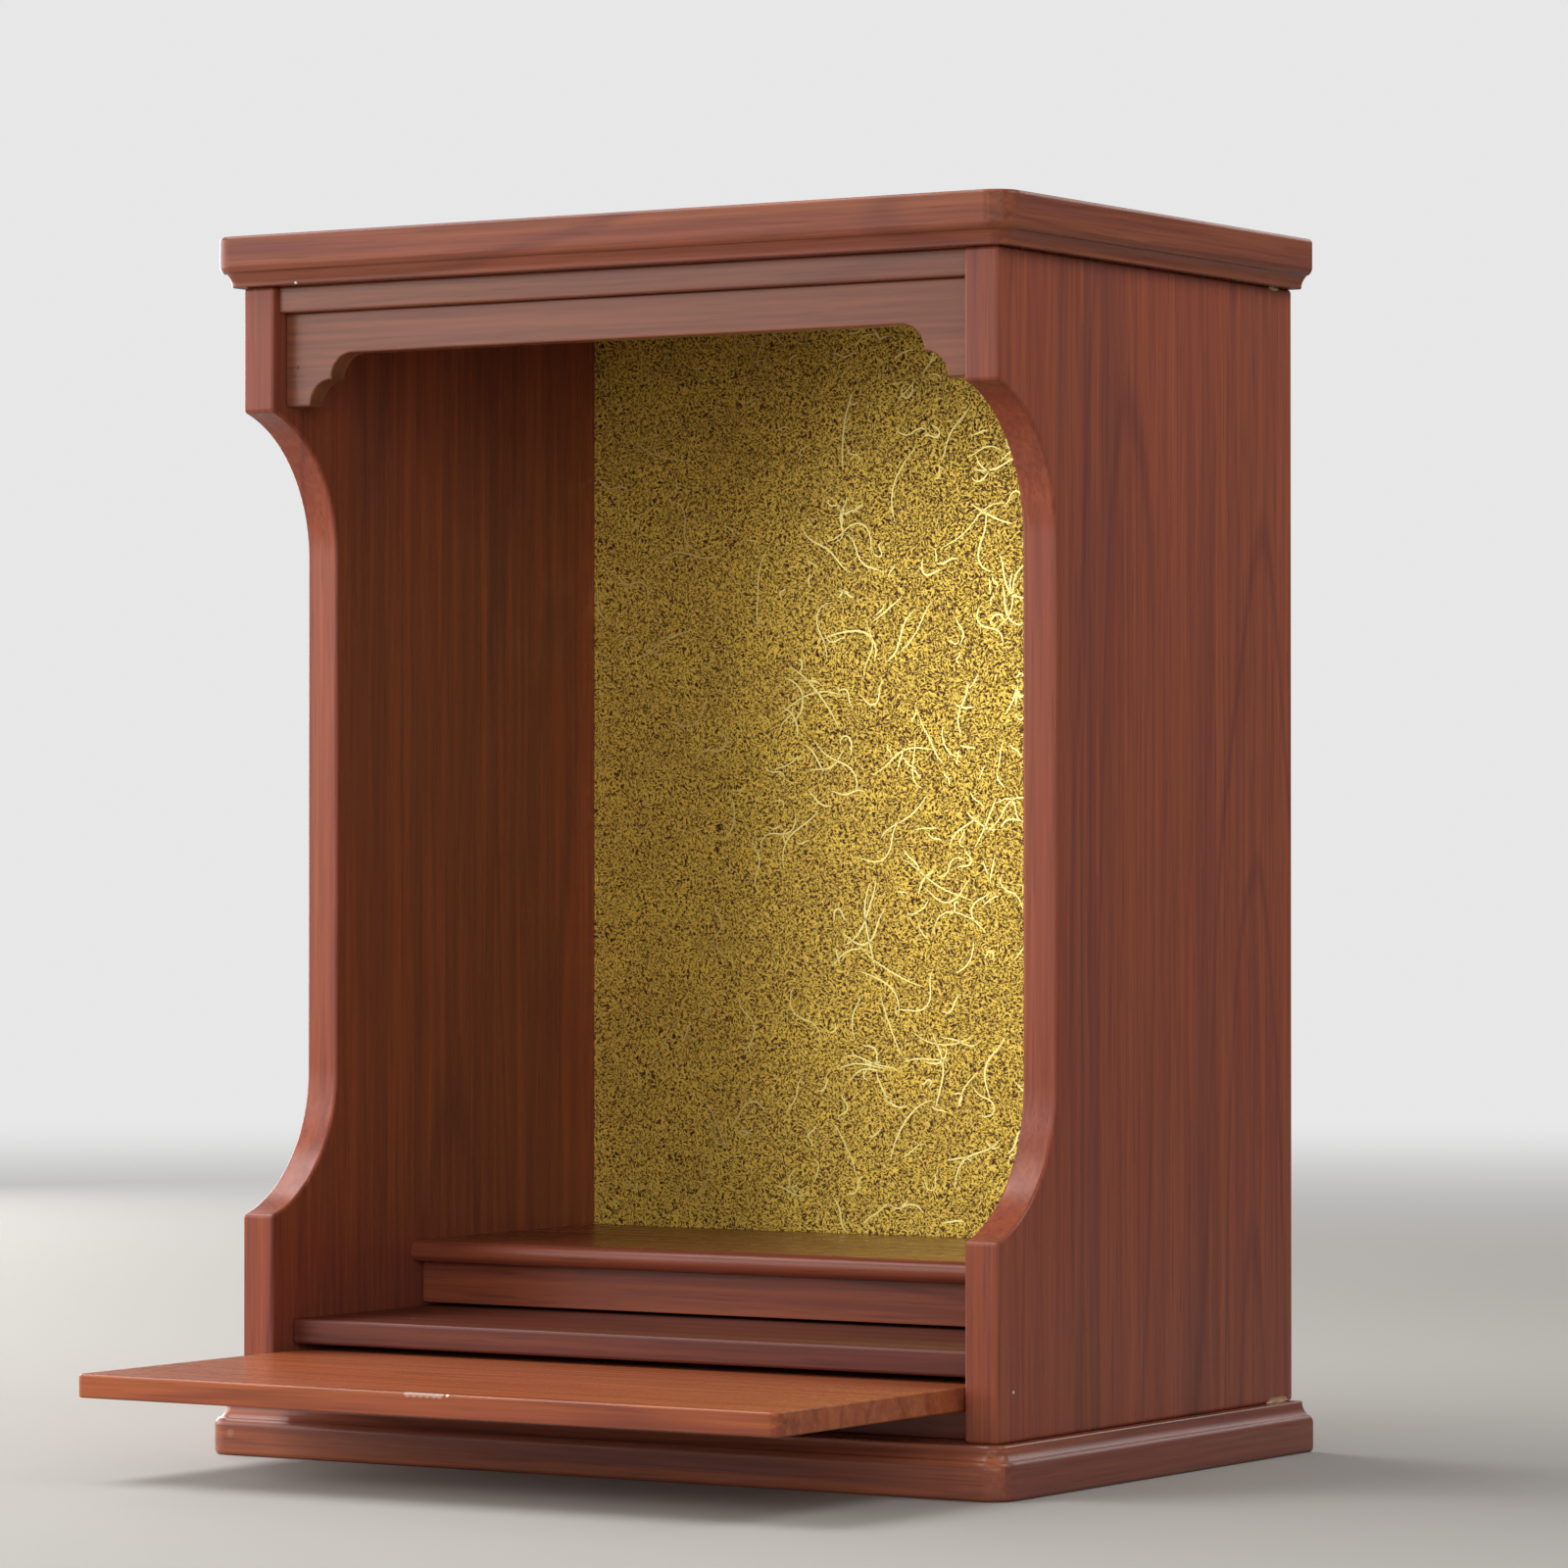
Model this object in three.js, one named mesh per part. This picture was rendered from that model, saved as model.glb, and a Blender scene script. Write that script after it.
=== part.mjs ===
// Small open-fronted household altar cabinet in stained wood: a moulded top and base board,
// two side panels scooped at the front, a stepped dais before a gold-papered back, a shaped
// valance, and a tray that slides out of a slot under the floor. It is shown with the tray out.
// Millimetres. X runs to the right as seen from the front, Y to the back and Z up.
// The origin is the middle of the base board's underside.
import * as THREE from "three";

// Carcass
const carcassWidth = 350; // over both side panels
const carcassDepth = 232; // front edge to back edge of a side panel
const panelHeight = 445;
const panelThick = 15;
const panelEase = 1.5; // rounding of the side panels' edges
const boardThick = 20; // top and base boards
const backThick = 3.2;
const paperThick = 0.4;

// Moulded edge of the top and base boards. Heights run from the board's outer broad face.
const sideOverhang = 9.5; // past the side panels
const topFrontOverhang = 10;
const baseFrontOverhang = 12.5;
const cornerRadius = 10.5; // front corners, in plan
const bandEase = 1.8; // rounding between the broad face and the plain band
const bandHeight = 11.6;
const rollRadius = 3.4; // rolled edge that ends the band
const rollTurn = (62 * Math.PI) / 180;
const quirkDepth = 0.5; // small step behind the roll
const coveDepth = 2.6;
const coveBend = [0.73, 0.38]; // where the cove turns, as shares of its depth and height
const filletHeight = 1.4;
const filletEase = 0.4;

// Scoop in the front edge of each side panel
const scoopLift = 75; // from the foot of the panel to the scoop
const scoopDrop = 50; // from the top of the panel to the scoop
const scoopDepth = 43;
const scoopRadius = 59;

// Header rail and valance, set back from the front edges of the side panels
const headerHeight = 10.4;
const headerThick = 16;
const headerSetback = 3.3;
const valanceThick = 9.5;
const valanceSetback = 8.4;
const valanceHeight = 37.2; // at the two feet
const valanceFoot = 12; // width of each foot
const valanceCove = 10.3; // radius of the two coves that step up to the straight edge

// Tray slot, floor and dais, upwards from the base board
const railHeight = 11.4;
const railThick = 12;
const railSetback = 12.9;
const trayUnderGap = 0.3; // tray to rail and runners
const trayThick = 9;
const trayOverGap = 2.5; // tray to floor shelf
const traySideGap = 1.5;
const trayBackGap = 10; // tray to back panel, pushed in
const trayShutSetback = 8; // tray front behind the panels' fronts, pushed in
const trayTravel = 135;
const trayCorner = 3.5; // front corners, in plan
const runnerWidth = 14;
const floorThick = 10;
const floorSetback = 12.9;
const riserHeight = 18.2;
const riserThick = 9;
const riserSetback = 8.7; // behind the nosing of the dais board
const daisThick = 9;
const daisSetback = 94;
const edgeEase = 0.9; // rounding of the smaller boards' edges

// Places worked out from the sizes above
const panelOut = carcassWidth / 2;
const panelIn = panelOut - panelThick;
const front = baseFrontOverhang / 2 - carcassDepth / 2; // front edges of the side panels
const back = front + carcassDepth;
const backFace = back - backThick;
const paperFace = backFace - paperThick;
const panelFoot = boardThick;
const panelTop = panelFoot + panelHeight;
const railTop = panelFoot + railHeight;
const trayFoot = railTop + trayUnderGap;
const trayTop = trayFoot + trayThick;
const floorFoot = trayTop + trayOverGap;
const floorTop = floorFoot + floorThick;
const riserTop = floorTop + riserHeight;
const daisTop = riserTop + daisThick;
const headerFoot = panelTop - headerHeight;

const wood = (color) => new THREE.MeshStandardMaterial({ color, roughness: 0.38, metalness: 0 });
const outerWood = wood(0x7a4636);
const innerWood = wood(0x5e3428);
const trayWood = wood(0x84503a);
const plyWood = wood(0x8a6a4c);
const goldLeaf = new THREE.MeshStandardMaterial({ color: 0xa98a3c, roughness: 0.42, metalness: 0.7 });

const altar = new THREE.Group();

function add(name, geometry, material, matrix) {
  const mesh = new THREE.Mesh(geometry, material);
  mesh.name = name;
  if (matrix) mesh.applyMatrix4(matrix);
  altar.add(mesh);
}

// Extrudes an outline by thick, with every edge rounded by ease inside the outline.
function easedSlab(outline, thick, ease, curveSegments = 8) {
  const geometry = new THREE.ExtrudeGeometry(outline, {
    depth: thick - 2 * ease,
    curveSegments,
    bevelEnabled: ease > 0,
    bevelThickness: ease,
    bevelSize: ease,
    bevelOffset: -ease,
    bevelSegments: 2,
  });
  return geometry.translate(0, 0, ease);
}

function rectangle(left, right, low, high) {
  return new THREE.Shape([
    new THREE.Vector2(left, low),
    new THREE.Vector2(right, low),
    new THREE.Vector2(right, high),
    new THREE.Vector2(left, high),
  ]);
}

// A board between two corners, its thickness running upwards.
function block(low, high, ease = 0) {
  const slab = easedSlab(rectangle(low[0], high[0], low[1], high[1]), high[2] - low[2], ease);
  return slab.translate(0, 0, low[2]);
}

// Turns an outline drawn in Y and Z so that it is extruded along X, from the given X on.
function acrossFrom(x) {
  const turn = new THREE.Matrix4().makeBasis(
    new THREE.Vector3(0, 1, 0),
    new THREE.Vector3(0, 0, 1),
    new THREE.Vector3(1, 0, 0),
  );
  return turn.setPosition(x, 0, 0);
}

// Turns an outline drawn in X and Z so that it is extruded towards the front, from the given Y on.
function forwardFrom(y) {
  const turn = new THREE.Matrix4().makeBasis(
    new THREE.Vector3(1, 0, 0),
    new THREE.Vector3(0, 0, 1),
    new THREE.Vector3(0, -1, 0),
  );
  return turn.setPosition(0, y, 0);
}

// Profile of the moulded edge as (inset, distance from the outer broad face).
function mouldingProfile() {
  const steps = 4;
  const ease = new THREE.EllipseCurve(
    bandEase, bandEase, bandEase, bandEase, -Math.PI / 2, -Math.PI, true,
  );
  const roll = new THREE.EllipseCurve(
    rollRadius, bandHeight, rollRadius, rollRadius, Math.PI, Math.PI - rollTurn, true,
  );
  const rollEnd = roll.getPoint(1);
  const coveStart = new THREE.Vector2(rollEnd.x + quirkDepth, rollEnd.y);
  const coveEnd = new THREE.Vector2(coveStart.x + coveDepth, boardThick - filletHeight);
  const coveTurn = new THREE.Vector2(
    coveStart.x + coveBend[0] * coveDepth,
    coveStart.y + coveBend[1] * (coveEnd.y - coveStart.y),
  );
  const cove = new THREE.QuadraticBezierCurve(coveStart, coveTurn, coveEnd);
  return [
    ...ease.getPoints(2),
    ...roll.getPoints(steps),
    ...cove.getPoints(steps),
    new THREE.Vector2(coveEnd.x, boardThick - filletEase),
    new THREE.Vector2(coveEnd.x + filletEase, boardThick),
  ];
}

// Plan outline of a board, drawn in by inset at its front and sides.
function boardOutline(frontOverhang, inset) {
  const half = panelOut + sideOverhang - inset;
  const near = front - frontOverhang + inset;
  const radius = cornerRadius - inset;
  const outline = new THREE.Path();
  outline.moveTo(-half, back);
  outline.lineTo(-half, near + radius);
  outline.absarc(-half + radius, near + radius, radius, Math.PI, 1.5 * Math.PI, false);
  outline.absarc(half - radius, near + radius, radius, 1.5 * Math.PI, 2 * Math.PI, false);
  outline.lineTo(half, back);
  return outline.getPoints(8);
}

// A board whose front and sides follow the moulding. heightAt gives the height of a distance
// from the outer broad face; the rings run upwards.
function mouldedBoard(frontOverhang, heightAt) {
  const rings = mouldingProfile()
    .map((p) => ({ z: heightAt(p.y), outline: boardOutline(frontOverhang, p.x) }))
    .sort((a, b) => a.z - b.z);
  const size = rings[0].outline.length;
  const positions = rings.flatMap((ring) => ring.outline.flatMap((p) => [p.x, p.y, ring.z]));
  const index = [];
  for (let ring = 0; ring < rings.length - 1; ring += 1) {
    for (let i = 0; i < size; i += 1) {
      const here = ring * size + i;
      const next = ring * size + ((i + 1) % size);
      index.push(here, next, next + size, here, next + size, here + size);
    }
  }
  const last = (rings.length - 1) * size;
  for (const [a, b, c] of THREE.ShapeUtils.triangulateShape(rings[0].outline, [])) {
    index.push(a, c, b);
  }
  for (const [a, b, c] of THREE.ShapeUtils.triangulateShape(rings.at(-1).outline, [])) {
    index.push(last + a, last + b, last + c);
  }
  const geometry = new THREE.BufferGeometry();
  geometry.setAttribute("position", new THREE.Float32BufferAttribute(positions, 3));
  geometry.setIndex(index);
  geometry.computeVertexNormals();
  return geometry;
}

// Side panel in Y and Z, with a scoop of two arcs and a straight between them.
function sidePanelOutline() {
  const arcRise = Math.sqrt(scoopRadius ** 2 - (scoopRadius - scoopDepth) ** 2);
  const arcTurn = Math.atan2(arcRise, scoopRadius - scoopDepth);
  const arcCentre = front + scoopDepth - scoopRadius;
  const low = panelFoot + scoopLift;
  const high = panelTop - scoopDrop;
  const outline = new THREE.Shape();
  outline.moveTo(back, panelTop);
  outline.lineTo(front, panelTop);
  outline.absarc(arcCentre, high - arcRise, scoopRadius, arcTurn, 0, true);
  outline.absarc(arcCentre, low + arcRise, scoopRadius, 0, -arcTurn, true);
  outline.lineTo(front, panelFoot);
  outline.lineTo(back, panelFoot);
  return outline;
}

// Valance in X and Z: a foot at each end, two coves up to the straight lower edge.
function valanceOutline() {
  const foot = headerFoot - valanceHeight;
  const start = panelIn - valanceFoot;
  const outline = new THREE.Shape();
  outline.moveTo(-panelIn, headerFoot);
  outline.lineTo(-panelIn, foot);
  outline.absarc(-start + valanceCove, foot, valanceCove, Math.PI, Math.PI / 2, true);
  outline.absarc(-start + 2 * valanceCove, foot + valanceCove, valanceCove, Math.PI, Math.PI / 2, true);
  outline.absarc(start - 2 * valanceCove, foot + valanceCove, valanceCove, Math.PI / 2, 0, true);
  outline.absarc(start - valanceCove, foot, valanceCove, Math.PI / 2, 0, true);
  outline.lineTo(panelIn, foot);
  outline.lineTo(panelIn, headerFoot);
  return outline;
}

// Dais board in Y and Z, with a half-round nosing.
function daisOutline() {
  const nose = daisThick / 2;
  const noseBack = front + daisSetback + nose;
  const outline = new THREE.Shape();
  outline.moveTo(backFace, daisTop);
  outline.lineTo(noseBack, daisTop);
  outline.absarc(noseBack, riserTop + nose, nose, Math.PI / 2, 1.5 * Math.PI, false);
  outline.lineTo(backFace, riserTop);
  return outline;
}

// Tray in X and Y, its front corners rounded.
function trayOutline() {
  const half = panelIn - traySideGap;
  const shut = front + trayShutSetback;
  const near = shut - trayTravel;
  const far = backFace - trayBackGap - trayTravel;
  const outline = new THREE.Shape();
  outline.moveTo(-half, far);
  outline.lineTo(-half, near + trayCorner);
  outline.absarc(-half + trayCorner, near + trayCorner, trayCorner, Math.PI, 1.5 * Math.PI, false);
  outline.absarc(half - trayCorner, near + trayCorner, trayCorner, 1.5 * Math.PI, 2 * Math.PI, false);
  outline.lineTo(half, far);
  return outline;
}

function addBoards() {
  add("base_board", mouldedBoard(baseFrontOverhang, (d) => d), outerWood);
  add("top_board", mouldedBoard(topFrontOverhang, (d) => panelTop + boardThick - d), outerWood);
}

function addCarcass() {
  const panel = () => easedSlab(sidePanelOutline(), panelThick, panelEase, 10);
  add("side_panel_left", panel(), outerWood, acrossFrom(-panelOut));
  add("side_panel_right", panel(), outerWood, acrossFrom(panelIn));
  add("back_panel", block([-panelIn, backFace, panelFoot], [panelIn, back, panelTop]), plyWood);
  add("gold_paper", block([-panelIn, paperFace, daisTop], [panelIn, backFace, panelTop]), goldLeaf);
}

function addHead() {
  const headerFront = front + headerSetback;
  const header = block(
    [-panelIn, headerFront, headerFoot], [panelIn, headerFront + headerThick, panelTop], edgeEase,
  );
  add("header_rail", header, outerWood);
  const valance = easedSlab(valanceOutline(), valanceThick, edgeEase);
  add("valance", valance, outerWood, forwardFrom(front + valanceSetback + valanceThick));
}

function addFloorAndDais() {
  const floorFront = front + floorSetback;
  const riserFront = front + daisSetback + riserSetback;
  const floor = block([-panelIn, floorFront, floorFoot], [panelIn, backFace, floorTop], edgeEase);
  add("floor_shelf", floor, innerWood);
  const riser = block([-panelIn, riserFront, floorTop], [panelIn, riserFront + riserThick, riserTop]);
  add("dais_riser", riser, innerWood);
  add("dais_top", easedSlab(daisOutline(), 2 * panelIn, 0), innerWood, acrossFrom(-panelIn));
}

function addTray() {
  const tray = easedSlab(trayOutline(), trayThick, edgeEase, 3);
  add("tray", tray.translate(0, 0, trayFoot), trayWood);
  const railFront = front + railSetback;
  const railBack = railFront + railThick;
  const rail = block([-panelIn, railFront, panelFoot], [panelIn, railBack, railTop], edgeEase);
  add("bottom_rail", rail, outerWood);
  const runnerIn = panelIn - runnerWidth;
  add("tray_runner_left", block([-panelIn, railBack, panelFoot], [-runnerIn, backFace, railTop]), plyWood);
  add("tray_runner_right", block([runnerIn, railBack, panelFoot], [panelIn, backFace, railTop]), plyWood);
}

addBoards();
addCarcass();
addHead();
addFloorAndDais();
addTray();

export default altar;
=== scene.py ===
"""Looks of a small household altar cabinet in stained wood, with a gold-papered back.

Every size is in metres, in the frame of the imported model. Boards are rebuilt as fine meshes from
the boxes of the nodes they replace, with rounded edges and the moulding of the top and base.
"""
import math
import random

import bmesh
import bpy
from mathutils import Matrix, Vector, noise


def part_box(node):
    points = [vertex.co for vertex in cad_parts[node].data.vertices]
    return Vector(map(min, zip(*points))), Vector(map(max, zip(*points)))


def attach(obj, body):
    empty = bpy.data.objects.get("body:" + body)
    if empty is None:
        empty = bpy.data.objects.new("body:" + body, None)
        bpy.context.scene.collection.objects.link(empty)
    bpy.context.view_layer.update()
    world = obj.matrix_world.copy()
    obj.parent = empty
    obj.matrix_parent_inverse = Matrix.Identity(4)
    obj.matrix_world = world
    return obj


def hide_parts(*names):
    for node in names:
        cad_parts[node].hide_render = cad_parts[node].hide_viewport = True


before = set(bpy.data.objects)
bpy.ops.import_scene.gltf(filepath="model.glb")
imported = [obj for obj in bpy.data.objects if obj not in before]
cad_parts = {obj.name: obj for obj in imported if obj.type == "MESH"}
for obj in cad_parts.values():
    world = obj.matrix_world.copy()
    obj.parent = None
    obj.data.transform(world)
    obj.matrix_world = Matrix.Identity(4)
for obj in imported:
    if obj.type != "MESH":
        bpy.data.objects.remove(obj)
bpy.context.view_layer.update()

MM = 0.001

# The top and base boards are equally thick
BOARD_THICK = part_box("base_board")[1].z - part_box("base_board")[0].z

# Moulded edge of the top and base boards, measured from the board's outer broad face
CORNER_RADIUS = 10.5 * MM
BACK_EASE = 0.8 * MM
BAND_EASE = 1.8 * MM
BAND_HEIGHT = 11.6 * MM
ROLL_RADIUS = 3.4 * MM
ROLL_TURN = math.radians(62)
QUIRK_DEPTH = 0.5 * MM
COVE_DEPTH = 2.6 * MM
COVE_BEND = (0.73, 0.38)  # where the cove's curve is pulled to, as shares of its depth and height
COVE_STEPS = 10
FILLET_HEIGHT = 1.4 * MM
FILLET_EASE = 0.4 * MM

# Side panels
PANEL_EASE = 1.5 * MM
SCOOP_LIFT = 75 * MM
SCOOP_DROP = 50 * MM
SCOOP_DEPTH = 43 * MM
SCOOP_RADIUS = 59 * MM

# Valance and the smaller boards
VALANCE_FOOT = 12 * MM
VALANCE_COVE = 10.3 * MM
EDGE_EASE = 0.9 * MM
SHELF_EASE = 1.4 * MM
RISER_EASE = 0.4 * MM
DAIS_EASE = 0.15 * MM
PAPER_EASE = 0.05 * MM
RISER_GAP = 1.3 * MM  # the dark line between the riser's foot and the floor shelf
TRAY_CORNER = 3.5 * MM

# A board's edges that turn more than this are rounded
SHARP_ANGLE = 0.35
# A moulding's edges that turn more than this stay sharp in its shading
MOULDING_SHARP = math.radians(42)


def node(tree, kind, inputs=None, **settings):
    """Adds a shader node. Inputs are values or sockets to link."""
    made = tree.nodes.new("ShaderNode" + kind)
    for name, value in settings.items():
        setattr(made, name, value)
    for name, value in (inputs or {}).items():
        socket = made.inputs[name]
        if isinstance(value, bpy.types.NodeSocket):
            tree.links.new(value, socket)
        else:
            socket.default_value = value
    return made


def arithmetic(tree, operation, a, b=0.0, clamp=False):
    return node(tree, "Math", {0: a, 1: b}, operation=operation, use_clamp=clamp).outputs[0]


def blended(tree, factor, a, b, mode="MIX"):
    """Colour a turning into colour b as the factor goes from 0 to 1."""
    mix = node(tree, "Mix", data_type="RGBA", blend_type=mode)
    sockets = {0: factor, 6: a, 7: b}
    for index, value in sockets.items():
        if isinstance(value, bpy.types.NodeSocket):
            tree.links.new(value, mix.inputs[index])
        elif index == 0:
            mix.inputs[index].default_value = value
        else:
            mix.inputs[index].default_value = (*value, 1.0)
    return mix.outputs[2]


def ranged(tree, value, low, high, to_low=0.0, to_high=1.0):
    """Maps low..high to to_low..to_high, and holds the ends."""
    inputs = {"Value": value, "From Min": low, "From Max": high, "To Min": to_low, "To Max": to_high}
    return node(tree, "MapRange", inputs, clamp=True, interpolation_type="SMOOTHSTEP").outputs[0]


def cloud(tree, vector, scale, detail=2.0, roughness=0.5, distortion=0.0):
    inputs = {
        "Vector": vector, "Scale": scale, "Detail": detail,
        "Roughness": roughness, "Distortion": distortion,
    }
    return node(tree, "TexNoise", inputs).outputs[0]


def scaled(tree, vector, factors):
    return node(tree, "VectorMath", {0: vector, 1: factors}, operation="MULTIPLY").outputs[0]


def moved(tree, vector, offset):
    return node(tree, "VectorMath", {0: vector, 1: offset}, operation="ADD").outputs[0]


def new_material(name):
    material = bpy.data.materials.new(name)
    material.use_nodes = True
    return material, material.node_tree, material.node_tree.nodes["Principled BSDF"]


# Gloss of the lacquer, and how deep the grain shows in it
WOOD_SPECULAR = 0.24
TOP_SPECULAR = 0.12
TRAY_SPECULAR = 0.17
PANEL_SPECULAR = 0.16
GRAIN_RELIEF = 0.07
FLAT_RELIEF = 0.012  # of the shelves and the tray

# Tones of the stained wood, linear
OUTER_TONES = {
    "mid": (0.250, 0.064, 0.036),
    "warm": (0.300, 0.080, 0.038),
    "dark": (0.200, 0.056, 0.035),
    "line": (0.120, 0.034, 0.032),
}
EDGING_TONES = {
    "mid": (0.215, 0.064, 0.036),
    "warm": (0.255, 0.080, 0.038),
    "dark": (0.175, 0.052, 0.036),
    "line": (0.110, 0.034, 0.028),
}
BASE_TONES = {
    "mid": (0.280, 0.084, 0.046),
    "warm": (0.330, 0.102, 0.048),
    "dark": (0.210, 0.064, 0.044),
    "line": (0.130, 0.041, 0.034),
}
HEAD_TONES = {
    "mid": (0.182, 0.060, 0.033),
    "warm": (0.215, 0.072, 0.035),
    "dark": (0.150, 0.052, 0.034),
    "line": (0.095, 0.032, 0.028),
}
INNER_TONES = {
    "mid": (0.215, 0.054, 0.028),
    "warm": (0.265, 0.070, 0.030),
    "dark": (0.160, 0.042, 0.026),
    "line": (0.080, 0.022, 0.018),
}
FLOOR_TONES = {
    "mid": (0.130, 0.032, 0.020),
    "warm": (0.165, 0.042, 0.022),
    "dark": (0.100, 0.026, 0.018),
    "line": (0.060, 0.016, 0.013),
}
TRAY_TONES = {
    "mid": (0.325, 0.085, 0.034),
    "warm": (0.415, 0.120, 0.042),
    "dark": (0.250, 0.064, 0.032),
    "line": (0.140, 0.038, 0.026),
}

# Small marks in the finish: place, radius, colour and strength
PALE = (0.80, 0.70, 0.62)
VALANCE_MARKS = (((-154 * MM, -101.3 * MM, 433 * MM), 0.9 * MM, (0.03, 0.01, 0.01), 0.85),)
PANEL_MARKS = (((175 * MM, -98.9 * MM, 38.9 * MM), 0.8 * MM, PALE, 0.95),)
TOP_MARKS = (((-145.3 * MM, -114.6 * MM, 465.2 * MM), 0.9 * MM, PALE, 0.9),)
BASE_MARKS = (((-171.6 * MM, -122.2 * MM, 9 * MM), 2.0 * MM, PALE, 0.10),)
# The scuff on the tray's front edge is a bright speck beside a row of overlapping pale ones
TRAY_SCUFF = (-3, 0, 3, 6, 9, 11.5)
TRAY_MARKS = (((15 * MM, -236.6 * MM, 40.5 * MM), 0.9 * MM, PALE, 0.95),) + tuple(
    ((x * MM, -236.4 * MM, 40.7 * MM), 2.1 * MM, PALE, 0.3) for x in TRAY_SCUFF
)
FLOOR_MARKS = (
    ((-120 * MM, -70 * MM, 53.2 * MM), 0.7 * MM, PALE, 0.7),
    ((35 * MM, -60 * MM, 53.2 * MM), 0.6 * MM, PALE, 0.7),
)

# How far in from its side a board's edging counts as the side face, and how upright it is there
EDGING_DEPTH = 7 * MM
EDGING_FACING = 0.9

# Sizes of the wood's figure: waves for each metre across and along the grain
BROAD_SCALE = (22, 1.5)
STREAK_SCALE = (150, 3.0)
FIBRE_SCALE = (620, 13)
PORE_SCALE = (1500, 34)
RING_SCALE = (9, 1.1)
RING_COUNT = 22
# Where each layer of the figure starts and where it is full, between 0 and 1
BROAD_RAMP = (0.38, 0.62)
STREAK_RAMP = (0.40, 0.66)
PORE_RAMP = (0.60, 0.72)
WIDE_RAMP = (0.3, 0.7)
RING_WIDTH = 0.22
# How strong the layers are
STREAK_STRENGTH = 0.8
PORE_STRENGTH = 0.45
FIBRE_SHADES = (0.86, 1.12)
GLOSS_CHANGE = 0.03
GRAIN_DEPTH = 0.4 * MM
# A mark is at full strength out to this share of its radius
MARK_CORE = 0.55


def on_side_edging(tree, where, edging):
    """1 on a board's side edging behind the mitre at its front corner, and 0 elsewhere."""
    half, front = edging
    spot = node(tree, "SeparateXYZ", {0: where}).outputs
    facing = node(tree, "SeparateXYZ", {0: node(tree, "NewGeometry").outputs["Normal"]}).outputs[2]
    from_side = arithmetic(tree, "SUBTRACT", half, arithmetic(tree, "ABSOLUTE", spot[0]))
    from_front = arithmetic(tree, "SUBTRACT", spot[1], front)
    shallow = arithmetic(tree, "LESS_THAN", from_side, EDGING_DEPTH)
    past_mitre = arithmetic(tree, "LESS_THAN", from_side, from_front)
    upright = arithmetic(tree, "LESS_THAN", arithmetic(tree, "ABSOLUTE", facing), EDGING_FACING)
    return arithmetic(tree, "MULTIPLY", shallow, arithmetic(tree, "MULTIPLY", past_mitre, upright))


def with_marks(tree, where, colour, marks):
    """The colour with the small marks painted over it."""
    for spot, radius, paint, strength in marks:
        away = node(tree, "VectorMath", {0: where, 1: spot}, operation="DISTANCE").outputs["Value"]
        cover = ranged(tree, away, radius * MARK_CORE, radius, strength, 0.0)
        colour = blended(tree, cover, colour, paint)
    return colour


def wood(name, grain, offset, tones, figure=0.4, roughness=0.27, marks=(), edging=None,
         specular=WOOD_SPECULAR, relief=GRAIN_RELIEF):
    """Stained and lacquered wood whose grain runs along the axis "x", "y" or "z".

    The offset moves the grain, so that no two boards have the same figure. With edging, a board's
    half width and its front, the grain of the side edges runs along y.
    """
    material, tree, shader = new_material(name)
    where = node(tree, "TexCoord").outputs["Object"]
    place = moved(tree, where, offset)
    sideways = on_side_edging(tree, where, edging) if edging else None

    def stretched(across, along):
        factors = [across] * 3
        factors["xyz".index(grain)] = along
        coordinates = scaled(tree, place, factors)
        if not edging:
            return coordinates
        turned = scaled(tree, place, (across, along, across))
        return node(tree, "Mix", {0: sideways, 4: coordinates, 5: turned}, data_type="VECTOR").outputs[1]

    broad = cloud(tree, stretched(*BROAD_SCALE), 1, 2, 0.5)
    streaks = cloud(tree, stretched(*STREAK_SCALE), 1, 3, 0.6)
    fibres = cloud(tree, stretched(*FIBRE_SCALE), 1, 2, 0.6)
    pores = cloud(tree, stretched(*PORE_SCALE), 1, 1, 0.5)
    rings = cloud(tree, stretched(*RING_SCALE), 1, 1.5, 0.4, 0.1)

    colour = blended(tree, ranged(tree, broad, *BROAD_RAMP), tones["dark"], tones["mid"])
    streaked = ranged(tree, streaks, *STREAK_RAMP, 0.0, STREAK_STRENGTH)
    colour = blended(tree, streaked, colour, tones["warm"])
    ringed = arithmetic(tree, "PINGPONG", arithmetic(tree, "MULTIPLY", rings, RING_COUNT), 1.0)
    line = ranged(tree, ringed, 0.0, RING_WIDTH, figure, 0.0)
    colour = blended(tree, line, colour, tones["line"])
    fine = ranged(tree, fibres, *WIDE_RAMP, *FIBRE_SHADES)
    shade = node(tree, "CombineColor", {0: fine, 1: fine, 2: fine}).outputs[0]
    colour = blended(tree, 1.0, colour, shade, "MULTIPLY")
    ticks = ranged(tree, pores, *PORE_RAMP, 0.0, PORE_STRENGTH)
    colour = blended(tree, ticks, colour, tones["line"])
    colour = with_marks(tree, where, colour, marks)
    tree.links.new(colour, shader.inputs["Base Color"])

    gloss = ranged(tree, streaks, *WIDE_RAMP, roughness + GLOSS_CHANGE, roughness - GLOSS_CHANGE)
    tree.links.new(gloss, shader.inputs["Roughness"])
    shader.inputs["Specular IOR Level"].default_value = specular
    height = arithmetic(tree, "SUBTRACT", arithmetic(tree, "MULTIPLY", fibres, 0.5), ticks)
    bump = node(tree, "Bump", {"Strength": relief, "Distance": GRAIN_DEPTH, "Height": height})
    tree.links.new(bump.outputs[0], shader.inputs["Normal"])
    return material


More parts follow.
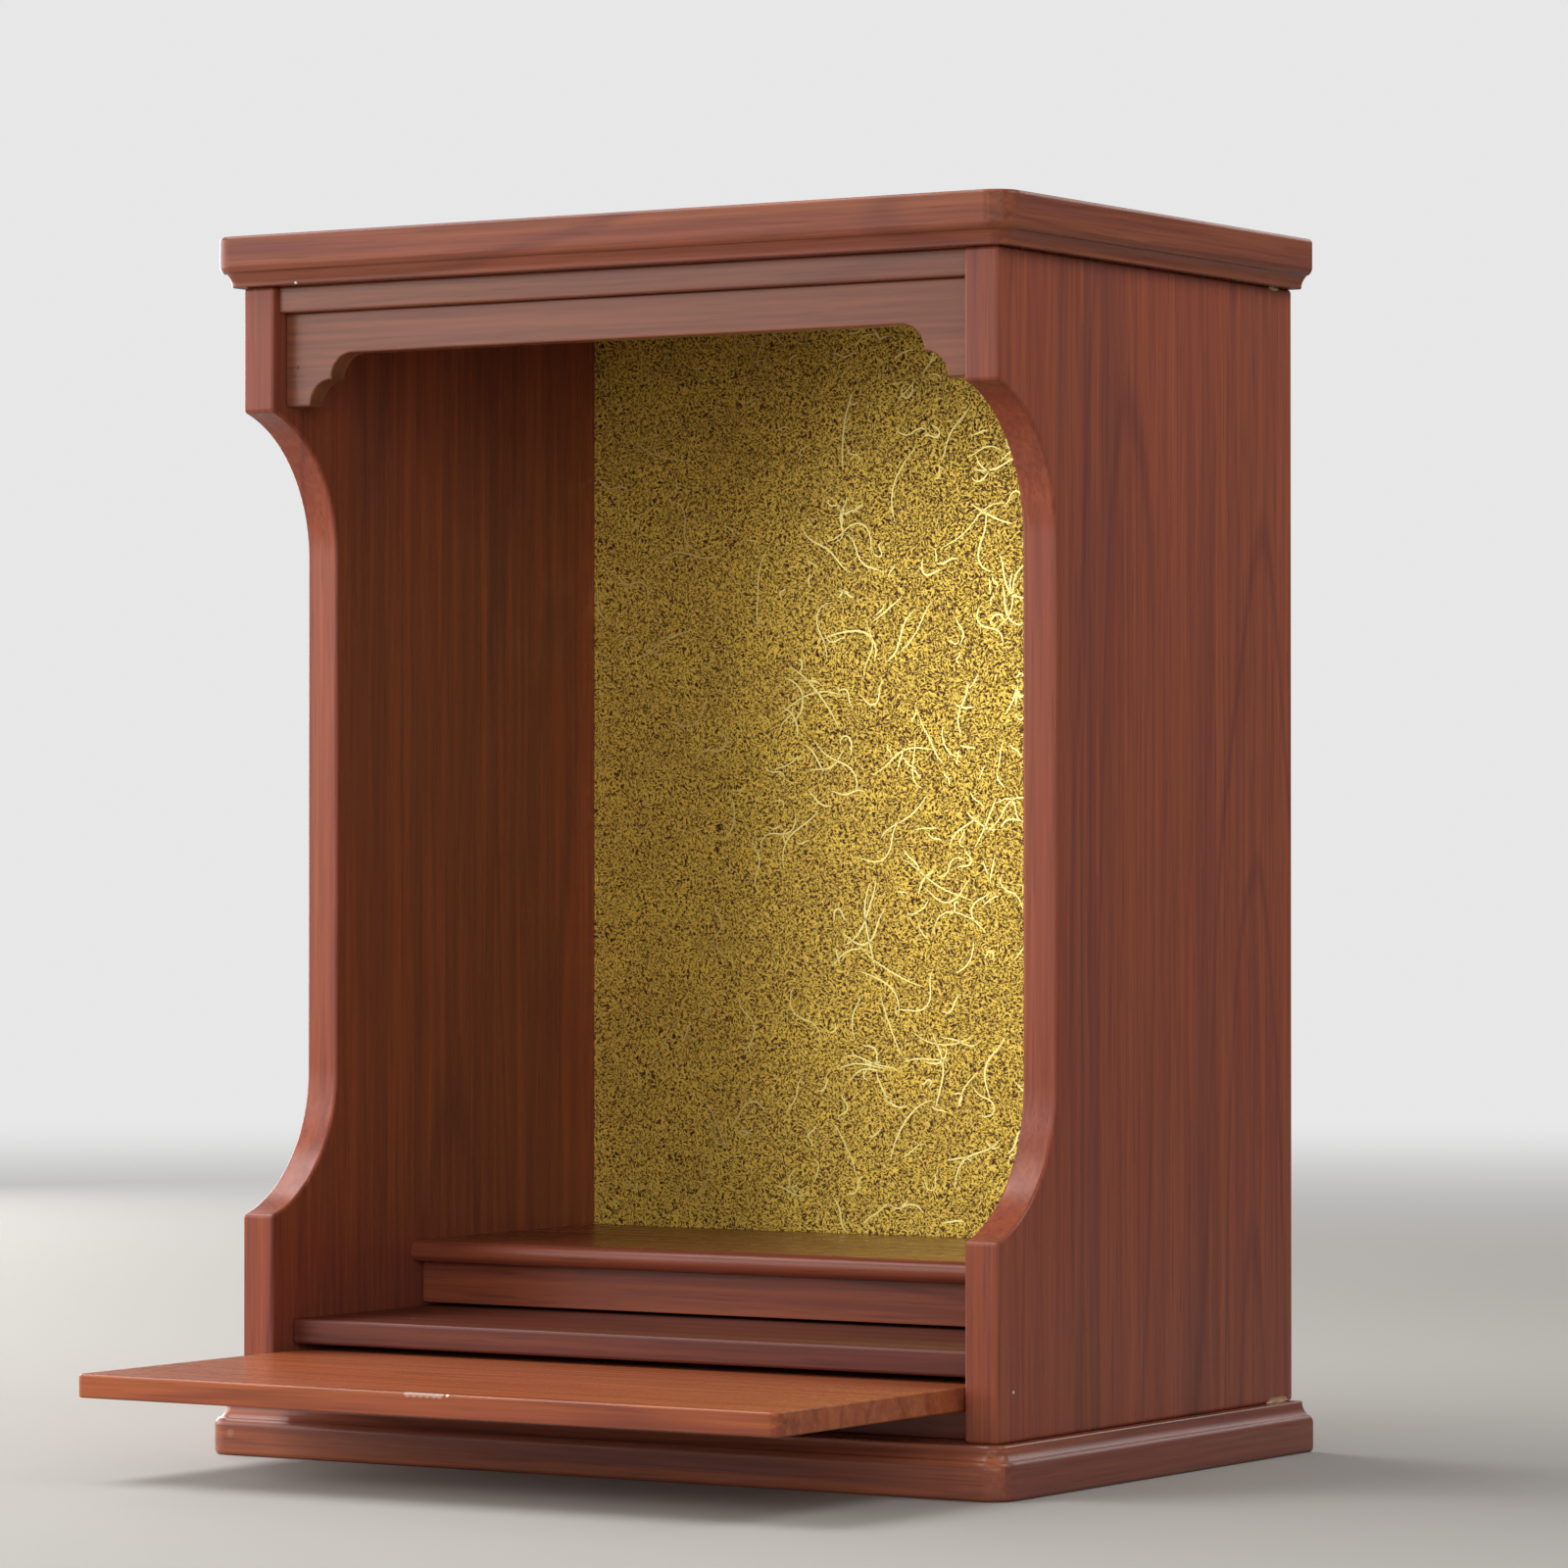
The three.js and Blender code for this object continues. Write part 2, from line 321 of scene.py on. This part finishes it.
# Bare wood and plywood: waves for each metre in x, y and z, and their tones
BARE_GRAIN = (900, 900, 120)
BARE_TONES = ((0.62, 0.42, 0.24), (0.86, 0.74, 0.55))
PLY_FIGURE = (7, 7, 1.2)
PLY_FIBRES = (700, 700, 16)
PLY_RING_COUNT = 16
PLY_TONES = {
    "mid": (0.30, 0.155, 0.075),
    "pale": (0.42, 0.235, 0.12),
    "ring": (0.20, 0.095, 0.045),
    "fibre": (0.17, 0.08, 0.04),
}


def raw_wood():
    """Pale bare wood where the stain is chipped off."""
    material, tree, shader = new_material("raw_wood")
    where = node(tree, "TexCoord").outputs["Object"]
    grain = cloud(tree, scaled(tree, where, BARE_GRAIN), 1, 2)
    colour = blended(tree, grain, *BARE_TONES)
    tree.links.new(colour, shader.inputs["Base Color"])
    shader.inputs["Roughness"].default_value = 0.55
    return material


def plywood():
    """Thin plywood with a thin brown stain, seen from behind and in the tray slot."""
    material, tree, shader = new_material("plywood")
    where = node(tree, "TexCoord").outputs["Object"]
    broad = cloud(tree, scaled(tree, where, PLY_FIGURE), 1, 3, 0.5, 0.4)
    rings = arithmetic(tree, "PINGPONG", arithmetic(tree, "MULTIPLY", broad, PLY_RING_COUNT), 1.0)
    fibres = cloud(tree, scaled(tree, where, PLY_FIBRES), 1, 2, 0.6)
    colour = blended(tree, ranged(tree, broad, 0.35, 0.65), PLY_TONES["mid"], PLY_TONES["pale"])
    colour = blended(tree, ranged(tree, rings, 0.0, 0.5, 0.4, 0.0), colour, PLY_TONES["ring"])
    streaked = ranged(tree, fibres, 0.35, 0.75, 0.0, 0.35)
    colour = blended(tree, streaked, colour, PLY_TONES["fibre"])
    tree.links.new(colour, shader.inputs["Base Color"])
    shader.inputs["Roughness"].default_value = 0.62
    bump = node(tree, "Bump", {"Strength": 0.2, "Distance": GRAIN_DEPTH, "Height": fibres})
    tree.links.new(bump.outputs[0], shader.inputs["Normal"])
    return material


# Gold paper: strokes of its crinkle run in these directions, in the plane of the paper
CRINKLE_TURNS = (20, 75, 130)
CRINKLE_ACROSS = 1650  # strokes for each metre across them
CRINKLE_ALONG = 500  # and along them
CRINKLE_SINK = 100  # strokes for each metre into the paper
CRINKLE_DRIFT = 6 * MM
CRINKLE_DEPTH = 0.3 * MM
# Where the crinkle's ridges and the glints on them start and where they are full; the glints are painted
# highlights
RIDGE_RAMP = (0.52, 0.60)
GLINT_RAMP = (0.62, 0.68)
GLINT_STRENGTH = 0.7
DULL_STRENGTH = 0.2
# The darkest tone is painted shade in the crinkle's creases, and the palest is a painted highlight on
# its ridge tops
GOLD_TONES = {
    "crease_shade": (0.075, 0.030, 0.018),
    "ridge": (1.0, 0.69, 0.100),
    "dull": (0.22, 0.11, 0.035),
    "glint": (1.0, 0.77, 0.19),
}
FIBRE_TONES = ((1.0, 0.84, 0.28), (1.0, 0.92, 0.42))
GOLD_ROUGHNESS = 0.38


def gold_paper():
    """Metallic paper with a fine crinkle of short strokes in all directions, with painted shade in its
    creases and painted highlights on its ridges.
    """
    material, tree, shader = new_material("gold_paper")
    where = node(tree, "TexCoord").outputs["Object"]
    drift = node(tree, "TexNoise", {"Vector": where, "Scale": 90, "Detail": 1.0})
    centred = moved(tree, drift.outputs["Color"], (-0.5, -0.5, -0.5))
    warped = scaled(tree, centred, (CRINKLE_DRIFT, 0.0, CRINKLE_DRIFT))
    place = moved(tree, where, warped)
    ridge = None
    for turn in CRINKLE_TURNS:
        turned = node(tree, "VectorRotate", {"Vector": place, "Angle": math.radians(turn)},
                      rotation_type="Y_AXIS").outputs[0]
        strokes = scaled(tree, turned, (CRINKLE_ACROSS, CRINKLE_SINK, CRINKLE_ALONG))
        stroke = cloud(tree, strokes, 1, 1.5, 0.6)
        ridge = stroke if ridge is None else arithmetic(tree, "MAXIMUM", ridge, stroke)
    tall = ranged(tree, ridge, *RIDGE_RAMP)
    glints = ranged(tree, ridge, *GLINT_RAMP, 0.0, GLINT_STRENGTH)
    patches = cloud(tree, where, 45, 3, 0.6)
    # Painted shade: the creases between the ridges are darkened
    colour = blended(tree, tall, GOLD_TONES["crease_shade"], GOLD_TONES["ridge"])
    dulled = ranged(tree, patches, 0.35, 0.65, DULL_STRENGTH, 0.0)
    colour = blended(tree, dulled, colour, GOLD_TONES["dull"])
    # Painted highlights: a paler gold on the tops of the ridges
    colour = blended(tree, glints, colour, GOLD_TONES["glint"])
    tree.links.new(colour, shader.inputs["Base Color"])
    shader.inputs["Metallic"].default_value = 0.6
    shader.inputs["Roughness"].default_value = GOLD_ROUGHNESS
    shader.inputs["Specular IOR Level"].default_value = 0.2
    bump = node(tree, "Bump", {"Strength": 0.4, "Distance": CRINKLE_DEPTH, "Height": tall})
    tree.links.new(bump.outputs[0], shader.inputs["Normal"])
    return material


def gold_fibre():
    """Pale gold of the long fibres in the paper."""
    material, tree, shader = new_material("gold_fibre")
    where = node(tree, "TexCoord").outputs["Object"]
    flecks = cloud(tree, where, 700, 2)
    colour = blended(tree, flecks, *FIBRE_TONES)
    tree.links.new(colour, shader.inputs["Base Color"])
    shader.inputs["Metallic"].default_value = 0.9
    shader.inputs["Roughness"].default_value = GOLD_ROUGHNESS
    return material


def stage_material():
    """Pale floor that fades out with distance from the object."""
    material, tree, shader = new_material("stage")
    where = node(tree, "TexCoord").outputs["Object"]
    away = node(tree, "VectorMath", {0: where}, operation="LENGTH").outputs["Value"]
    shader.inputs["Base Color"].default_value = FLOOR_COLOUR
    shader.inputs["Roughness"].default_value = 0.8
    shader.inputs["Specular IOR Level"].default_value = 0.2
    clear = node(tree, "BsdfTransparent")
    fade = node(tree, "MixShader", {0: ranged(tree, away, FLOOR_SOLID, FLOOR_END)})
    tree.links.new(shader.outputs[0], fade.inputs[1])
    tree.links.new(clear.outputs[0], fade.inputs[2])
    tree.links.new(fade.outputs[0], tree.nodes["Material Output"].inputs["Surface"])
    return material


def weighted(obj):
    """Smooth shading that keeps the flat faces flat."""
    for face in obj.data.polygons:
        face.use_smooth = True
    modifier = obj.modifiers.new("even_normals", "WEIGHTED_NORMAL")
    modifier.keep_sharp = True
    modifier.weight = 100
    return obj


def to_object(name, mesh, material):
    """Turns a bmesh into an object with one material."""
    bmesh.ops.recalc_face_normals(mesh, faces=mesh.faces)
    data = bpy.data.meshes.new(name)
    mesh.to_mesh(data)
    mesh.free()
    data.materials.append(material)
    obj = bpy.data.objects.new(name, data)
    bpy.context.scene.collection.objects.link(obj)
    return obj


def slab(name, outline, place, start, end, ease, material, segments=3):
    """A board: an outline carried from start to end, its sharp edges rounded."""
    mesh = bmesh.new()
    near = [mesh.verts.new(place(u, v, start)) for u, v in outline]
    far = [mesh.verts.new(place(u, v, end)) for u, v in outline]
    mesh.faces.new(near)
    mesh.faces.new(reversed(far))
    for i in range(len(outline)):
        j = (i + 1) % len(outline)
        mesh.faces.new((near[i], near[j], far[j], far[i]))
    bmesh.ops.recalc_face_normals(mesh, faces=mesh.faces)
    sharp = [edge for edge in mesh.edges if edge.calc_face_angle() > SHARP_ANGLE]
    bmesh.ops.bevel(mesh, geom=sharp, offset=ease, offset_type="OFFSET", segments=segments,
                    profile=0.5, affect="EDGES", clamp_overlap=True)
    return weighted(to_object(name, mesh, material))


def along_x(u, v, w):
    return (w, u, v)


def along_y(u, v, w):
    return (u, w, v)


def along_z(u, v, w):
    return (u, v, w)


def rectangle(left, right, low, high):
    return [(left, low), (right, low), (right, high), (left, high)]


def arc(centre, radius, start, end, steps):
    """Points on a circle from one angle to another, both ends included."""
    points = []
    for i in range(steps + 1):
        angle = start + (end - start) * i / steps
        points.append((centre[0] + radius * math.cos(angle), centre[1] + radius * math.sin(angle)))
    return points


def box_board(name, node_name, ease, material):
    """A plain board the size of its node, with rounded edges."""
    low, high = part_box(node_name)
    outline = rectangle(low.x, high.x, low.y, high.y)
    return slab(name, outline, along_z, low.z, high.z, ease, material)


def moulding_profile():
    """Profile of the moulded edge as (inset, distance from the outer broad face)."""
    ease = arc((BAND_EASE, BAND_EASE), BAND_EASE, -math.pi / 2, -math.pi, 5)
    roll = arc((ROLL_RADIUS, BAND_HEIGHT), ROLL_RADIUS, math.pi, math.pi - ROLL_TURN, 6)
    roll_end = roll[-1]
    start = Vector((roll_end[0] + QUIRK_DEPTH, roll_end[1]))
    end = Vector((start.x + COVE_DEPTH, BOARD_THICK - FILLET_HEIGHT))
    turn = Vector((start.x + COVE_BEND[0] * COVE_DEPTH, start.y + COVE_BEND[1] * (end.y - start.y)))
    cove = []
    for i in range(COVE_STEPS + 1):
        t = i / COVE_STEPS
        cove.append(tuple((1 - t) ** 2 * start + 2 * t * (1 - t) * turn + t ** 2 * end))
    fillet = [(end.x, BOARD_THICK - FILLET_EASE), (end.x + FILLET_EASE, BOARD_THICK)]
    return ease + roll + cove + fillet


def board_outline(low, high, inset):
    """Plan of a board, drawn in by inset at its front and sides, its front corners round."""
    left, right, near, back = low.x + inset, high.x - inset, low.y + inset, high.y
    radius = CORNER_RADIUS - inset
    ease = BACK_EASE
    return (
        arc((left + radius, near + radius), radius, math.pi, 1.5 * math.pi, 16)
        + arc((right - radius, near + radius), radius, 1.5 * math.pi, 2 * math.pi, 16)
        + arc((right - ease, back - ease), ease, 0, math.pi / 2, 3)
        + arc((left + ease, back - ease), ease, math.pi / 2, math.pi, 3)
    )


def moulded_board(name, node_name, upside_down, material):
    """A board with the moulding along its front and sides. The top board's is upside down."""
    low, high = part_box(node_name)
    mesh = bmesh.new()
    rings = []
    for inset, down in moulding_profile():
        z = high.z - down if upside_down else low.z + down
        rings.append([mesh.verts.new((x, y, z)) for x, y in board_outline(low, high, inset)])
    for ring, following in zip(rings, rings[1:]):
        for i in range(len(ring)):
            j = (i + 1) % len(ring)
            mesh.faces.new((ring[i], ring[j], following[j], following[i]))
    mesh.faces.new(rings[0])
    mesh.faces.new(reversed(rings[-1]))
    bmesh.ops.recalc_face_normals(mesh, faces=mesh.faces)
    for edge in mesh.edges:
        edge.smooth = edge.calc_face_angle() < MOULDING_SHARP
    return weighted(to_object(name, mesh, material))


def panel_outline(low, high):
    """Side panel in y and z, with the scoop in its front edge."""
    rise = math.sqrt(SCOOP_RADIUS ** 2 - (SCOOP_RADIUS - SCOOP_DEPTH) ** 2)
    turn = math.atan2(rise, SCOOP_RADIUS - SCOOP_DEPTH)
    centre = low.y + SCOOP_DEPTH - SCOOP_RADIUS
    foot = low.z + SCOOP_LIFT
    head = high.z - SCOOP_DROP
    return (
        [(high.y, low.z), (high.y, high.z), (low.y, high.z)]
        + arc((centre, head - rise), SCOOP_RADIUS, turn, 0, 28)
        + arc((centre, foot + rise), SCOOP_RADIUS, 0, -turn, 28)
        + [(low.y, low.z)]
    )


def valance_outline(low, high):
    """Valance in x and z: a foot at each end and two coves up to the straight lower edge."""
    foot = low.z
    start = high.x - VALANCE_FOOT
    r = VALANCE_COVE
    quarter = math.pi / 2
    left = (
        arc((-start + r, foot), r, math.pi, quarter, 12)
        + arc((-start + 2 * r, foot + r), r, math.pi, quarter, 12)
    )
    right = [(-x, z) for x, z in reversed(left)]
    return [(low.x, high.z), (low.x, foot)] + left + right + [(high.x, foot), (high.x, high.z)]


def dais_outline(low, high):
    """Dais board in y and z, with a half-round nosing."""
    nose = (high.z - low.z) / 2
    half_turn = arc((low.y + nose, low.z + nose), nose, math.pi / 2, 1.5 * math.pi, 16)
    return [(high.y, high.z)] + half_turn + [(high.y, low.z)]


def tray_outline(low, high):
    """Tray in plan, its front corners round."""
    r = TRAY_CORNER
    return (
        [(low.x, high.y)]
        + arc((low.x + r, low.y + r), r, math.pi, 1.5 * math.pi, 8)
        + arc((high.x - r, low.y + r), r, 1.5 * math.pi, 2 * math.pi, 8)
        + [(high.x, high.y)]
    )


def dress(obj, body, slot, *nodes):
    """The piece stands for its nodes and moves with the body. The slot is not used."""
    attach(obj, body)
    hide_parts(*nodes)
    return obj


# Pale chips at the rear of the right side panel: middle, and half sizes
CHIPS = (
    ((175 * MM, 109.3 * MM, 20.3 * MM), (1.3 * MM, 9.5 * MM, 2.3 * MM)),
    ((175 * MM, 107.4 * MM, 464.9 * MM), (1.0 * MM, 4.6 * MM, 1.5 * MM)),
)
# Depth of the lumps in a chip's surface as a share of its size, how fine they are, and their seed
CHIP_ROUGHNESS = 0.18
CHIP_LUMPS = 2.7
CHIP_SEED = 90


def chip_cutter(material):
    """Rough lens shapes that are cut out of the right panel's edges."""
    mesh = bmesh.new()
    for middle, half in CHIPS:
        made = bmesh.ops.create_icosphere(mesh, subdivisions=4, radius=1.0)
        for vert in made["verts"]:
            lump = noise.noise(vert.co * CHIP_LUMPS + Vector(middle) * CHIP_SEED)
            rough = 1 + CHIP_ROUGHNESS * lump
            vert.co = Vector(middle) + Vector([a * b * rough for a, b in zip(vert.co, half)])
    return to_object("chip_cutter", mesh, material)


def cut_chips(panel, material):
    """Cuts the chips, keeps the bare wood's material on the cut, and drops the cutter."""
    cutter = chip_cutter(material)
    panel.data.materials.append(material)
    cut = panel.modifiers.new("chips", "BOOLEAN")
    cut.operation = "DIFFERENCE"
    cut.object = cutter
    cut.solver = "EXACT"
    cut.material_mode = "TRANSFER"
    panel.modifiers.move(len(panel.modifiers) - 1, 0)
    bpy.context.view_layer.update()
    seen = panel.evaluated_get(bpy.context.evaluated_depsgraph_get())
    finished = bpy.data.meshes.new_from_object(seen)
    panel.modifiers.clear()
    panel.data = finished
    bpy.data.objects.remove(cutter)
    return panel


def make_boards():
    low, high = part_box("top_board")
    edging = (high.x, low.y)
    top_wood = wood("top_wood", "x", (3.1, 1.7, 0.4), EDGING_TONES, marks=TOP_MARKS, edging=edging,
                    specular=TOP_SPECULAR)
    base_wood = wood("base_wood", "x", (5.3, 2.2, 7.9), BASE_TONES, marks=BASE_MARKS, edging=edging)
    top = moulded_board("top_board_wood", "top_board", True, top_wood)
    dress(top, "cabinet", "outer_wood", "top_board")
    base = moulded_board("base_board_wood", "base_board", False, base_wood)
    dress(base, "cabinet", "outer_wood", "base_board")


def make_side_panels():
    left = wood("left_panel_wood", "z", (0.7, 4.4, 2.6), OUTER_TONES, specular=PANEL_SPECULAR)
    right = wood("right_panel_wood", "z", (6.4, 3.3, 1.9), OUTER_TONES, marks=PANEL_MARKS,
                 specular=PANEL_SPECULAR)
    bare = raw_wood()
    for side, material in (("left", left), ("right", right)):
        name = "side_panel_" + side
        low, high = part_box(name)
        outline = panel_outline(low, high)
        panel = slab(name + "_wood", outline, along_x, low.x, high.x, PANEL_EASE, material, 4)
        if side == "right":
            cut_chips(panel, bare)
        dress(panel, "cabinet", "outer_wood", name)


def make_head():
    header_wood = wood("header_wood", "x", (1.9, 6.1, 3.3), HEAD_TONES, figure=0.25)
    valance_wood = wood("valance_wood", "x", (4.6, 3.8, 9.2), HEAD_TONES, figure=0.15,
                        marks=VALANCE_MARKS)
    header = box_board("header_rail_wood", "header_rail", EDGE_EASE, header_wood)
    dress(header, "cabinet", "outer_wood", "header_rail")
    low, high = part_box("valance")
    outline = valance_outline(low, high)
    valance = slab("valance_wood", outline, along_y, low.y, high.y, EDGE_EASE, valance_wood)
    dress(valance, "cabinet", "outer_wood", "valance")


def make_floor_and_dais():
    floor_wood = wood("floor_wood", "x", (2.4, 5.2, 8.8), FLOOR_TONES, roughness=0.42, marks=FLOOR_MARKS,
                      relief=FLAT_RELIEF)
    dais_wood = wood("dais_wood", "x", (6.6, 0.3, 1.1), INNER_TONES, roughness=0.28, relief=FLAT_RELIEF)
    riser_wood = wood("riser_wood", "x", (9.4, 7.7, 4.2), INNER_TONES)
    floor = box_board("floor_shelf_wood", "floor_shelf", SHELF_EASE, floor_wood)
    dress(floor, "cabinet", "inner_wood", "floor_shelf")
    low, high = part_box("dais_riser")
    outline = rectangle(low.x, high.x, low.y, high.y)
    riser = slab("dais_riser_wood", outline, along_z, low.z + RISER_GAP, high.z, RISER_EASE, riser_wood)
    dress(riser, "cabinet", "inner_wood", "dais_riser")
    low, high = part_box("dais_top")
    outline = dais_outline(low, high)
    dais = slab("dais_top_wood", outline, along_x, low.x, high.x, DAIS_EASE, dais_wood, 1)
    dress(dais, "cabinet", "inner_wood", "dais_top")


def make_tray():
    tray_wood = wood("tray_wood", "x", (7.1, 2.9, 6.0), TRAY_TONES, marks=TRAY_MARKS,
                     specular=TRAY_SPECULAR, relief=FLAT_RELIEF)
    rail_wood = wood("rail_wood", "x", (0.2, 8.3, 5.8), OUTER_TONES)
    low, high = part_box("tray")
    tray = slab("tray_board", tray_outline(low, high), along_z, low.z, high.z, EDGE_EASE, tray_wood)
    dress(tray, "tray", "tray_wood", "tray")
    rail = box_board("bottom_rail_wood", "bottom_rail", EDGE_EASE, rail_wood)
    dress(rail, "cabinet", "outer_wood", "bottom_rail")


# Fibres lie on the paper and stand a little proud of it
FIBRE_COUNT = 700
FIBRE_HALF_WIDTH = (0.26 * MM, 0.42 * MM)
FIBRE_PROUD = 0.06 * MM
FIBRE_LENGTH = (6 * MM, 38 * MM)
MOSTLY_SHORT = 2.2  # the power that makes short fibres common
FIBRE_STEPS = 14
FIBRE_TIP = 0.25  # width of a fibre's ends as a share of its middle
FIBRE_SEED = 7
# Spread of the bend and of the wave in a fibre's heading, and the wave's length, in radians
FIBRE_BEND = 1.1
FIBRE_WAVE = 0.5
FIBRE_PHASE = 6
# The share of them that is kept grows from the left one of these x to the right one
FIBRES_THIN = (-130 * MM, 30 * MM)
FEWEST_FIBRES = 0.12


def fibre_path(rng, low, high, y):
    """Points of one curled fibre on the paper, or none if it runs off the paper."""
    length = FIBRE_LENGTH[0] + (FIBRE_LENGTH[1] - FIBRE_LENGTH[0]) * rng.random() ** MOSTLY_SHORT
    x = rng.uniform(low.x, high.x)
    z = rng.uniform(low.z, high.z)
    heading = rng.uniform(0, 2 * math.pi)
    bend = rng.gauss(0, FIBRE_BEND)
    wave = rng.gauss(0, FIBRE_WAVE)
    phase = rng.uniform(0, FIBRE_PHASE)
    points = []
    for i in range(FIBRE_STEPS + 1):
        points.append(Vector((x, y, z)))
        share = i / FIBRE_STEPS
        angle = heading + bend * share + wave * math.sin(FIBRE_PHASE * share + phase)
        x += length / FIBRE_STEPS * math.cos(angle)
        z += length / FIBRE_STEPS * math.sin(angle)
    inside = all(low.x < p.x < high.x and low.z < p.z < high.z for p in points)
    return points if inside else []


def add_fibre(mesh, points, half_width):
    """A thin raised strand with a flat face and tapered ends."""
    rows = []
    for i, point in enumerate(points):
        ahead = points[min(i + 1, len(points) - 1)] - points[max(i - 1, 0)]
        across = Vector((ahead.z, 0, -ahead.x)).normalized()
        share = i / (len(points) - 1)
        width = half_width * (FIBRE_TIP + (1 - FIBRE_TIP) * math.sin(math.pi * share) ** 0.5)
        raised = point - Vector((0, FIBRE_PROUD, 0))
        left, right = -across * width, across * width
        section = (point + left, raised + left, raised + right, point + right)
        rows.append([mesh.verts.new(corner) for corner in section])
    for row, following in zip(rows, rows[1:]):
        for k in range(4):
            j = (k + 1) % 4
            mesh.faces.new((row[k], row[j], following[j], following[k]))
    mesh.faces.new(rows[0])
    mesh.faces.new(reversed(rows[-1]))


def make_gold_paper():
    paper = box_board("gold_paper_sheet", "gold_paper", PAPER_EASE, gold_paper())
    dress(paper, "cabinet", "gold_paper", "gold_paper")
    low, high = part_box("gold_paper")
    rng = random.Random(FIBRE_SEED)
    mesh = bmesh.new()
    for _ in range(FIBRE_COUNT):
        points = fibre_path(rng, low, high, low.y)
        thin = rng.random()
        half_width = rng.uniform(*FIBRE_HALF_WIDTH)
        share = points and (points[0].x - FIBRES_THIN[0]) / (FIBRES_THIN[1] - FIBRES_THIN[0])
        if points and thin < max(share, FEWEST_FIBRES):
            add_fibre(mesh, points, half_width)
    fibres = to_object("gold_fibres", mesh, gold_fibre())
    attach(fibres, "cabinet")


def finish_hidden_boards():
    """The back panel and the runners keep the frame's own solids."""
    material = plywood()
    for name in ("back_panel", "tray_runner_left", "tray_runner_right"):
        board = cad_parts[name]
        board.data.materials.clear()
        board.data.materials.append(material)


# The camera stands where the photograph's straight edges put it
CAMERA_PLACE = (1.39604, -2.18367, 0.24187)
CAMERA_TURN = (math.radians(90.55), 0, math.radians(32.38))
CAMERA_LENS = 149.03
CAMERA_SENSOR = 36


def make_camera():
    data = bpy.data.cameras.new("camera")
    data.lens = CAMERA_LENS
    data.sensor_width = CAMERA_SENSOR
    data.sensor_fit = "HORIZONTAL"
    camera = bpy.data.objects.new("camera", data)
    camera.location = CAMERA_PLACE
    camera.rotation_euler = CAMERA_TURN
    bpy.context.scene.collection.objects.link(camera)
    bpy.context.scene.camera = camera


# Soft boxes: azimuth and elevation in degrees, distance, width, height, brightness.
# Azimuth 0 is straight in front, and positive ones are to the right.
AIM = Vector((0, 0, 0.25))
SOFT_BOXES = {
    "front_left": (-44, 11, 2.0, 1.5, 1.05, 3.2),
    "left_low": (-84, 8, 2.0, 1.2, 0.95, 4.5),
    "front_left_high": (-34, 24, 2.0, 1.3, 0.8, 1.5),
    "high_left": (-52, 48, 1.9, 1.0, 0.7, 5.5),
    "front_right": (36, 12, 2.6, 1.9, 1.3, 2.3),
    "front_strip": (0, 12, 2.2, 0.3, 1.1, 6.0),
    "right_near": (100, 44, 1.05, 0.5, 0.5, 4.6),
    "left_high": (-87, 55, 2.0, 1.2, 1.0, 7.0),
    "back_left": (-120, 10, 2.0, 0.8, 0.9, 6.0),
    "back_fill": (168, 30, 2.4, 1.6, 0.8, 2.5),
}
# Grey of the world as it lights the object, and as the camera sees it
WORLD_LIGHT = 0.17
WORLD_SEEN = 0.80
# The floor is solid out to the first distance and fades out by the second
FLOOR_SOLID = 0.9
FLOOR_END = 3.2
FLOOR_RADIUS = 3.4
FLOOR_COLOUR = (0.39, 0.37, 0.345, 1)


def direction(azimuth, elevation):
    a, e = math.radians(azimuth), math.radians(elevation)
    return Vector((math.sin(a) * math.cos(e), -math.cos(a) * math.cos(e), math.sin(e)))


def make_lights():
    for name, (azimuth, elevation, distance, width, height, brightness) in SOFT_BOXES.items():
        data = bpy.data.lights.new(name, "AREA")
        data.shape = "RECTANGLE"
        data.size = width
        data.size_y = height
        data.energy = brightness * math.pi * width * height
        light = bpy.data.objects.new(name, data)
        away = direction(azimuth, elevation)
        light.location = AIM + away * distance
        light.rotation_euler = away.to_track_quat("Z", "Y").to_euler()
        light.visible_camera = False
        bpy.context.scene.collection.objects.link(light)


def make_world():
    world = bpy.data.worlds.new("studio")
    world.use_nodes = True
    tree = world.node_tree
    lighting = tree.nodes["Background"]
    lighting.inputs["Color"].default_value = (WORLD_LIGHT, WORLD_LIGHT, WORLD_LIGHT, 1)
    seen = node(tree, "Background", {"Color": (WORLD_SEEN, WORLD_SEEN, WORLD_SEEN, 1)})
    path = node(tree, "LightPath")
    mix = node(tree, "MixShader", {0: path.outputs["Is Camera Ray"]})
    tree.links.new(lighting.outputs[0], mix.inputs[1])
    tree.links.new(seen.outputs[0], mix.inputs[2])
    tree.links.new(mix.outputs[0], tree.nodes["World Output"].inputs["Surface"])
    bpy.context.scene.world = world


def make_floor():
    mesh = bmesh.new()
    bmesh.ops.create_circle(mesh, cap_ends=True, radius=FLOOR_RADIUS, segments=96)
    floor = to_object("stage_floor", mesh, stage_material())


make_camera()
make_world()
make_lights()
make_floor()
make_boards()
make_side_panels()
make_head()
make_floor_and_dais()
make_tray()
make_gold_paper()
finish_hidden_boards()
bpy.context.scene.view_settings.view_transform = "Standard"
